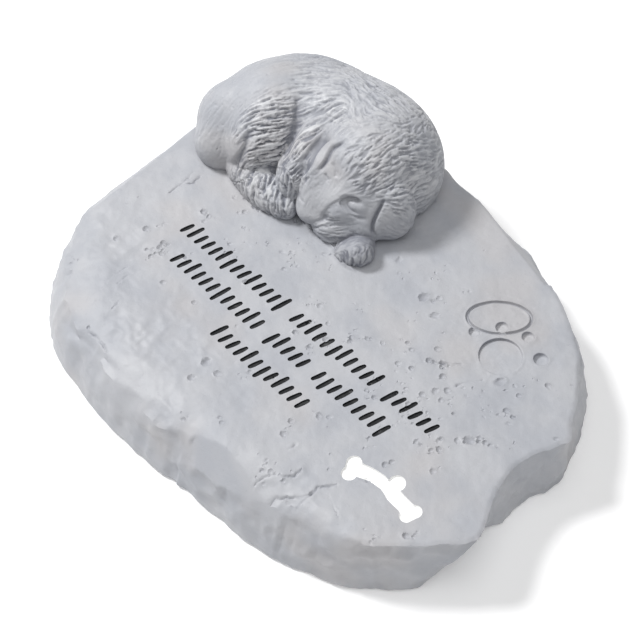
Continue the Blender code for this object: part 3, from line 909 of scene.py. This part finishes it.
def boneOutline():
    size = bone["length"] / 100
    points = arc((-42, -1), 8.7, 40, 205, 12)
    points += arc((-37, -14), 8.7, 165, 375, 14)
    points += [(-16, -4.6), (0, -4), (6, -5.6), (11, -8), (20, -8.8), (30, -9)]
    points += arc((40, -8), 7.8, 200, 330, 10)
    points += arc((43, 2), 7.8, -30, 140, 12)
    points += [(30, 7.4), (22, 8)]
    points += arc((7, 13), 9.5, -25, 200, 14)
    points += [(-8, 10.6), (-15, 10), (-25, 8)]
    return np.array([(bone["place"][0] + x * size, bone["place"][1] + y * size) for x, y in points])


# Hollows, cracks and scratches of the top
wear = {
    "pits": 430,
    "pitSizes": (0.35, 1.15),
    "pitArea": ((-98, 98), (-80, 78)),
    "pitSpread": 2.2,  # of one cluster
    "busySpot": (62, 8, 1100),  # more clusters round here, with the squared reach
    "busyRow": (2, 130, -60),  # and in a row along the stone: height, reach, start
    "calmSpot": (58, 36, 22),  # none in the print and the halo
    "pitRim": 0.22,  # soft rims, in shares of the depth
    "lineRim": 0.2,
    "lineDepths": ((0.6, 3.5, 35),),  # cracks and scratches are deeper here and there
    "wobbleX": ((0.22, 0.9, 31),),
    "wobbleY": ((0.22, 0.9, 32),),
    "crackLines": (
        ((36.1, -76.5), (36.8, -71.9), (39.4, -67.6)),
        ((42.4, -66.2), (44.8, -63.3), (45.1, -59.6)),
        ((40.1, -77.5), (46.8, -72.5), (52.7, -67.6), (54.8, -63.9), (54.3, -60.5), (58.7, -55.1)),
        ((54.8, -63.9), (54.5, -71.4)),
        ((35.6, -57.2), (36.1, -53.8)),
        ((49.5, -84.4), (47.4, -81.5), (48.6, -77.9)),
        ((-68.7, -76.5), (-63.7, -75.2), (-59.6, -74.2), (-54.3, -73.4), (-50.2, -73.8), (-45.6, -75.2)),
        ((-86.0, -6.1), (-86.2, 2.9), (-87.5, 8.2)),
        ((-87.0, -1.0), (-83.0, 3.5), (-84.0, 9.0)),
        ((66.0, 16.0), (62.0, 10.5), (60.5, 7.0)),
        ((41.8, 3.8), (48.0, 9.0), (55.6, 15.7)),
    ),
    "scratchLines": (
        ((59.3, -60.0), (68.7, -64.2)),
        ((-69.5, -39.1), (-70.0, -48.1)), ((-70.4, -50.2), (-69.5, -55.3)), ((-69.3, -56.5), (-69.5, -65.6)),
        ((-66.1, -62.9), (-66.2, -66.0)), ((-59.1, -56.5), (-58.3, -61.3)), ((-66.5, -44.0), (-66.0, -52.0)),
    ),
    "crackDepth": 0.7,
    "crackWidth": 0.6,
    "scratchDepth": 0.32,
    "scratchWidth": 0.4,
}
bigPits = (
    (-78.8, -25.5, 1.3, 0.9), (-83.9, -37.1, 1.1, 0.7), (-14.2, -52.2, 1.5, 1.0), (-12.8, -61.1, 1.3, 0.8),
    (-7.2, -52.9, 1.2, 0.8), (-53.7, -38.8, 1.1, 0.7), (-38.2, -36.4, 1.0, 0.6), (71.0, 20.0, 1.7, 0.9),
    (80.1, -7.2, 1.9, 1.2), (84.9, 31.5, 1.0, 0.8), (82.0, -3.6, 1.0, 0.7), (24.0, 28.6, 1.8, 1.2),
    (33.0, 25.0, 1.4, 0.8), (80.1, 20.4, 0.9, 0.6), (79.5, -26.4, 1.1, 0.7), (50.2, 10.9, 1.3, 0.7),
)


def pitList():
    random = np.random.default_rng(12)
    rows = list(bigPits)
    small, large = wear["pitSizes"]
    (left, right), (front, rear) = wear["pitArea"]
    spotX, spotY, spotReach = wear["busySpot"]
    rowY, rowReach, rowStart = wear["busyRow"]
    calmX, calmY, calmRadius = wear["calmSpot"]
    while len(rows) < wear["pits"]:
        x, y = random.uniform(left, right), random.uniform(front, rear)
        busy = math.exp(-((x - spotX) ** 2 + (y - spotY) ** 2) / spotReach)
        busy += math.exp(-(y - rowY) ** 2 / rowReach) * (x > rowStart)
        if random.uniform() > 0.2 + busy:
            continue
        for _ in range(random.integers(1, 6)):
            spot = (x + random.normal(0, wear["pitSpread"]), y + random.normal(0, wear["pitSpread"]))
            radius = small + (large - small) * random.uniform() ** 2.5
            if math.hypot(spot[0] - calmX, spot[1] - calmY) > calmRadius:
                rows.append((*spot, radius, radius * random.uniform(0.45, 0.9)))
    return rows


def topHeight(points, edgeDistance):
    # height of the top at places of the plan: it falls away and is broken along the front
    front = smoothStep(-points[:, 1] - slab["frontSlant"] * points[:, 0], *slab["frontFrom"])
    front *= smoothStep(-points[:, 0], *slab["frontSide"])
    width = slab["roll"] + slab["frontRoll"] * front
    fall = slab["drop"] + slab["frontDrop"] * front
    share = np.clip(1 - edgeDistance / width, 0, 1)
    height = slab["thickness"] + slab["level"] - fall * share ** 2.2 + layered(points, slab["swells"])
    broken = front * smoothStep(layered(points, slab["brokenAreas"]), -0.5, 0.3)
    height -= broken * ridged(points, slab["broken"])
    return height + marks(points)


def marks(points):
    # pits with a soft rim, cracks and scratches
    change = np.zeros(len(points))
    moved = points + np.stack([layered(points, wear[name]) for name in ("wobbleX", "wobbleY")], axis=1)
    for i, (x, y, radius, depth) in enumerate(pits):
        away = moved - (x, y)
        close = np.abs(away).max(1) < radius * 2.2
        stretch = 1.0 + 0.5 * ((i * 7) % 5) / 5
        u, v = rotated(*away[close].T, -i * 2.4)
        far = (u / (radius * stretch)) ** 2 + (v / radius) ** 2
        edge = wear["pitRim"] * np.exp(-(far - 1.5) ** 2 / 0.3)
        change[close] -= depth * (np.clip(1 - far, 0, 1) ** 0.6 - edge)
    uneven = layered(points, wear["lineDepths"], 0.75)
    for kind in ("crack", "scratch"):
        width = wear[kind + "Width"]
        for line in wear[kind + "Lines"]:
            away = lineDistance(moved, line) / width
            cut = np.clip(1 - away, 0, 1) - wear["lineRim"] * np.exp(-(away - 1.8) ** 2 / 0.5)
            change -= wear[kind + "Depth"] * uneven * cut
    return change


def recesses(points):
    # how deep the strokes, the print, the halo and the bone are cut
    deep = np.zeros(len(points))
    for shape in strokes:
        into = depthInside(points, shape)
        deep = np.maximum(deep, inscription["depth"] * ramp(into, inscription["wall"]) ** 0.7)
    for shape in toes:
        into = depthInside(points, shape)
        lean = 0.85 - 0.15 * (points[:, 0] - shape[:, 0].mean())
        bowl = ramp(into, pawPrint["toeWall"]) ** 0.4 * ramp(into, pawPrint["wall"])
        deep = np.maximum(deep, pawPrint["toeDepth"] * lean * bowl)
    # the pad is pressed in on one side only
    into = depthInside(points, pad)
    lean = 0.5 - 0.52 * ((points - pawPrint["pad"]) @ pawPrint["padLean"]) / pawPrint["padRadius"]
    deep = np.maximum(deep, pawPrint["padDepth"] * np.clip(lean, 0, 1) * ramp(into, pawPrint["wall"]))
    away = lineDistance(points, ring, closed=True)
    groove = np.sqrt(np.clip(1 - (away / (halo["groove"] / 2)) ** 2, 0, 1))
    deep = np.maximum(deep, halo["depth"] * groove)
    into = depthInside(points, boneShape)
    return np.maximum(deep, bone["depth"] * ramp(into, bone["wall"]))


def recessShade(points):
    # painted shade in the halo and under the edges of the print
    away = lineDistance(points, ring, closed=True)
    dark = halo["recessShade"] * np.clip(1 - away / (halo["groove"] * 0.55), 0, 1) ** 0.5
    for shape in toes + [pad]:
        into = depthInside(points, shape)
        middle = shape.mean(0)
        shade = (middle - points) @ pawPrint["light"] / np.linalg.norm(shape[0] - middle)
        edge = (into > -0.05) * np.exp(-into / 0.7)
        dark = np.maximum(dark, pawPrint["recessShade"] * smoothStep(shade, -0.1, 0.8) * edge)
    return dark


# a thin line left by the mould beside the paw
seam = {"line": ((-20.6, 21.0), (-14.7, 19.6), (-8.6, 17.6), (-4.3, 18.8)), "height": 0.9, "width": 0.45}
# the stone climbs to the puppy's foot, with a low ridge beside it
climb = {"height": 1.1, "reach": 1.1, "ridge": 0.4, "ridgePlace": 1.5, "ridgeWidth": 0.35}


def lips(points):
    # soft raised edges beside the pressed shapes, and the rise of the stone to the puppy
    rise = np.zeros(len(points))
    beside = pawPrint["lipReach"]
    for shape, share in [(toe, 0.8) for toe in toes] + [(pad, 1.0)]:
        into = depthInside(points, shape)
        side = smoothStep((points - shape.mean(0))[:, 0], -1.0, 2.5)
        rise += pawPrint["lip"] * side * bell(into + beside, beside * share)
    away = lineDistance(points, ring, closed=True)
    rise += halo["lip"] * bell(away - 0.95, 0.35)
    out = puppyDistance(points)
    rise += climb["height"] * np.exp(-np.clip(out, 0, 20) / climb["reach"]) * (out > -3)
    ridge = bell(out - climb["ridgePlace"], climb["ridgeWidth"])
    rise += climb["ridge"] * ridge * smoothStep(noise(points, 9.0, 44), 0, 0.5)
    return rise + seam["height"] * bell(lineDistance(points, seam["line"]), seam["width"])


def puppyDistance(points):
    # distance from places of the top to the puppy's foot
    local = np.column_stack((points, np.full(len(points), slab["thickness"]))) - puppy["place"]
    found = np.full(len(points), 30.0)  # far off
    close = np.all(np.abs(local[:, :2]) < 66, axis=1)
    found[close] = puppySkin(local[close])
    return found


def topLoops(rim):
    # closed lines that the mesh of the top has to follow, with the paint inside each
    loops = [(rim, 0)]
    for shape in strokes:
        loops += [(shape, 1), (inset(shape, inscription["wall"]), 1)]
    loops += [(boneShape, 2), (inset(boneShape, bone["wall"]), 2)]
    for shape in toes + [pad]:
        loops += [(shape, 0), (inset(shape, pawPrint["wall"]), 0)]
    return loops + [(inset(ring, k * halo["groove"] / 2), 0) for k in (-1, -0.5, 0, 0.5, 1)]


def topPoints(rim, loops):
    # points between the loops: an even grid, a finer one at the print, and more at every mark
    grid = hexGrid(rim.min(0), rim.max(0), slab["grid"])
    fine = hexGrid(*slab["fineBox"], slab["fineGrid"])
    fine = fine[np.linalg.norm(fine - slab["fineMiddle"], axis=1) < slab["fineRadius"]]
    grid = grid[np.linalg.norm(grid - slab["fineMiddle"], axis=1) > slab["fineRadius"] + 0.2]
    lines = [linePoints(line) for line in wear["crackLines"] + wear["scratchLines"]]
    grid = np.concatenate([grid, fine, pitPoints()] + lines)
    grid = grid[depthInside(grid, rim, 30.0) > 0.6]
    clear = np.full(len(grid), 9.0)
    for loop, _ in loops[1:]:
        near = nearBox(grid, loop, 1)
        clear[near] = np.minimum(clear[near], lineDistance(grid[near], loop, closed=True))
    return grid[clear > 0.24]


def makeSlab(materials):
    rim, foot, outward = rimAndFoot()
    loops = topLoops(rim)
    edges = []
    start = 0
    for loop, _ in loops:
        edges += [(start + i, start + (i + 1) % len(loop)) for i in range(len(loop))]
        start += len(loop)
    flat = np.concatenate([loop for loop, _ in loops] + [topPoints(rim, loops)])
    print("points on the top:", len(flat))
    made = delaunay_2d_cdt([Vector(p) for p in flat], edges, [], 1, 1e-5, True)
    plan = np.array([tuple(p) for p in made[0]])
    triangles = np.array([tuple(f) for f in made[2]])
    centres = plan[triangles].mean(1)
    within = depthInside(centres, rim, 30.0) > 0
    triangles, centres = triangles[within], centres[within]
    swap = {old: new for new, olds in enumerate(made[3]) for old in olds}
    rimNumbers = np.array([swap[i] for i in range(len(rim))])
    edgeDistance = lineDistance(plan, rim[::3], closed=True)
    top = np.column_stack((plan, topHeight(plan, edgeDistance) + lips(plan) - recesses(plan)))
    slots = np.zeros(len(triangles), int)
    for loop, slot in loops:
        if slot:
            slots[depthInside(centres, loop) > 0] = slot
    sides, sideFaces = makeSides(rim, foot, outward, top[rimNumbers], rimNumbers, len(top))
    points = chipped(np.concatenate([top, sides]))
    faces = [tuple(t) for t in triangles] + sideFaces
    slots = np.concatenate([slots, np.zeros(len(sideFaces), int)])
    plan = points[:, :2]
    # painted shade in the pits, cracks and scratches, round the puppy's foot, and in the halo and the print
    paintedLight = np.clip(-marks(plan) * 0.45, 0, 0.5) + 0.45 * np.exp(-puppyDistance(plan) / 2.2)
    paintedLight = np.maximum(paintedLight, recessShade(plan))
    paintedLight[len(top):] = 0
    piece = newPiece("stone_slab", points, faces, materials, slots, paintedLight)
    smoothShaded(piece)
    piece.data.set_sharp_from_angle(angle=math.radians(38))
    return piece


def pitPoints():
    # extra points in and around every pit
    made = []
    for x, y, radius, _ in pits:
        made.append([(x, y)])
        for share, count in ((0.45, 6), (0.85, 9), (1.25, 12)):
            made.append(arc((x, y), radius * share, 17 * share, 17 * share + 360 - 360 / count, count))
    return np.concatenate(made)


def linePoints(line):
    # extra points on both sides of a crack or scratch
    line = np.array(line, float)
    made = []
    for start, end in zip(line[:-1], line[1:]):
        along = end - start
        steps = max(2, int(np.linalg.norm(along) / 0.45))
        side = np.array((-along[1], along[0])) / np.linalg.norm(along)
        for offset in (-0.55, -0.2, 0.2, 0.55):
            made += [start + along * (i + 0.5) / steps + side * offset for i in range(steps)]
    return np.array(made)


def makeSides(rim, foot, outward, topRing, rimNumbers, first):
    # rings of points from the edge of the top down to the foot, closed below by one flat face
    rings = slab["rings"]
    thickness = slab["thickness"]
    count = len(rim)
    points = []
    for k in range(1, rings + 1):
        share = k / rings
        z = topRing[:, 2] * (1 - share)
        flare = np.interp(z / thickness, *np.array(flareRise).T)
        row = rim + (foot - rim) * flare[:, None]
        tuck = 1 - np.sqrt(np.clip(1 - np.clip(1 - z / slab["footRound"], 0, 1) ** 2, 0, 1))
        row = row - outward * (tuck * slab["footRound"])[:, None]
        points.append(np.column_stack((row, z)))
    flat = np.concatenate(points)
    push = ridged(flat, slab["sideRidges"], layered(flat, slab["sideSwells"]))
    push *= np.sin(ramp(flat[:, 2], thickness) * math.pi) ** 0.4
    flat[:, :2] -= np.tile(outward, (rings, 1)) * push[:, None]
    flat = faceted(flat, rim, outward)
    faces = []
    previous = rimNumbers
    for k in range(rings):
        current = first + k * count + np.arange(count)
        faces += list(zip(np.roll(previous, -1), previous, current, np.roll(current, -1)))
        previous = current
    faces.append(tuple(previous[::-1]))
    return flat, [tuple(f) for f in faces]


def faceted(points, rim, outward):
    # shallow scallops that meet in ridges, as where stone has been knocked off
    random = np.random.default_rng(5)
    picked = random.integers(len(rim), size=slab["scallops"])
    hubs = np.column_stack((rim[picked], random.uniform(0, slab["thickness"], slab["scallops"])))
    hubs[:, :2] += outward[picked] * 2
    reach = random.uniform(0.6, 1.5, slab["scallops"])
    near = np.full(len(points), 1e9)
    for hub, size in zip(hubs, reach):
        away = (points - hub) * (1, 1, 1.2)
        near = np.minimum(near, (away ** 2).sum(1) / size)
    bite = slab["scallopDepth"] * (1 - ramp(near, slab["scallopSize"]))
    bite *= smoothStep(points[:, 2], 0, 2) * smoothStep(slab["thickness"] - points[:, 2], 0.5, 4)
    rings = len(points) // len(rim)
    points[:, :2] -= np.tile(outward, (rings, 1)) * bite[:, None]
    place, normal = (np.array(part) for part in slab["cornerCut"])
    over = np.clip((points - place) @ normal, 0, None)
    over *= np.linalg.norm(points[:, :2] - place[:2], axis=1) < slab["cornerReach"]
    over *= smoothStep(-points[:, 1], 10, 24)
    points -= normal * over[:, None]
    points[:, 2] = np.clip(points[:, 2], 0, None)
    return points


def chipped(points):
    # flat cuts along the upper edge, and the groove at the left of the front
    size = np.array((slab["length"], slab["depth"])) / 2
    corners = np.array([row[:2] for row in outline]) * size
    for place, turn, tilt, bite in chips:
        after, before = corners[(place + 1) % len(corners)], corners[place - 1]
        along = after - before
        angle = math.atan2(-along[0], along[1]) + math.radians(turn)
        lean = math.radians(tilt)
        level = math.cos(lean)
        normal = np.array((math.cos(angle) * level, math.sin(angle) * level, math.sin(lean)))
        start = np.array((*corners[place], slab["thickness"])) - normal * bite * slab["thickness"]
        over = np.clip((points - start) @ normal, 0, None)
        over *= np.linalg.norm(points[:, :2] - corners[place], axis=1) < slab["chipReach"]
        points = points - normal * over[:, None]
    deep = slab["grooveDepth"] * bell(lineDistance(points, slab["groove"]), slab["grooveWidth"])
    return points + deep[:, None] * slab["grooveWay"]


# Stage

def makeStage():
    finish = Finish("pale floor")
    tone = finish.mix(finish.noise(160.0, 2.0), (0.93, 0.93, 0.935), (0.95, 0.95, 0.95))
    # painted light: the floor glows a little so that shadows on it stay pale
    material = finish.set(Base_Color=tone, Roughness=0.9, Specular_IOR_Level=0.1,
                          Emission_Color=(1.0, 1.0, 1.0), Emission_Strength=0.12)
    half, under = 3000.0, -0.05  # half its width, and just below the stone
    corners = [(-half, -half, under), (half, -half, under), (half, half, under), (-half, half, under)]
    floor = newPiece("floor", corners, [(0, 1, 2, 3)], [material])


lights = {
    "key": {"from": (-0.57, -0.18, 0.80), "distance": 1.5, "size": 0.35, "power": 17.2},
    "top": {"from": (0.1, 0.0, 1.0), "distance": 1.6, "size": 1.2, "power": 7.0},
    "fill": {"from": (0.45, -0.30, 0.85), "distance": 1.8, "size": 1.0, "power": 3.7},
    "sky": 0.30,
}


def makeLights():
    for name in ("key", "top", "fill"):
        setup = lights[name]
        data = bpy.data.lights.new(name, "AREA")
        data.shape = "DISK"
        data.size = setup["size"]
        data.energy = setup["power"]
        lamp = bpy.data.objects.new(name, data)
        way = Vector(setup["from"]).normalized()
        lamp.location = way * setup["distance"]
        lamp.rotation_euler = way.to_track_quat("Z", "Y").to_euler()
        bpy.context.scene.collection.objects.link(lamp)
    world = bpy.data.worlds.new("studio")
    world.use_nodes = True
    world.node_tree.nodes["Background"].inputs["Color"].default_value = (1.0, 1.0, 1.0, 1.0)
    world.node_tree.nodes["Background"].inputs["Strength"].default_value = lights["sky"]
    bpy.context.scene.world = world
    bpy.context.scene.view_settings.view_transform = "Standard"


strokes = strokeOutlines()
toes = toeOutlines()
pad = padOutline()
ring = haloLine()
boneShape = boneOutline()
pits = pitList()

slabPiece = makeSlab([stoneFinish("cast stone", 0.12), blackPaint(), whitePaint()])
print("slab made")
puppyPiece = makePuppy(stoneFinish("cast stone of the puppy", 0.09))
print("puppy made")
for piece in (slabPiece, puppyPiece):
    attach(piece, "root")
    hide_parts("memorial_stone")

makeStage()
makeLights()
print("stage and lights made")
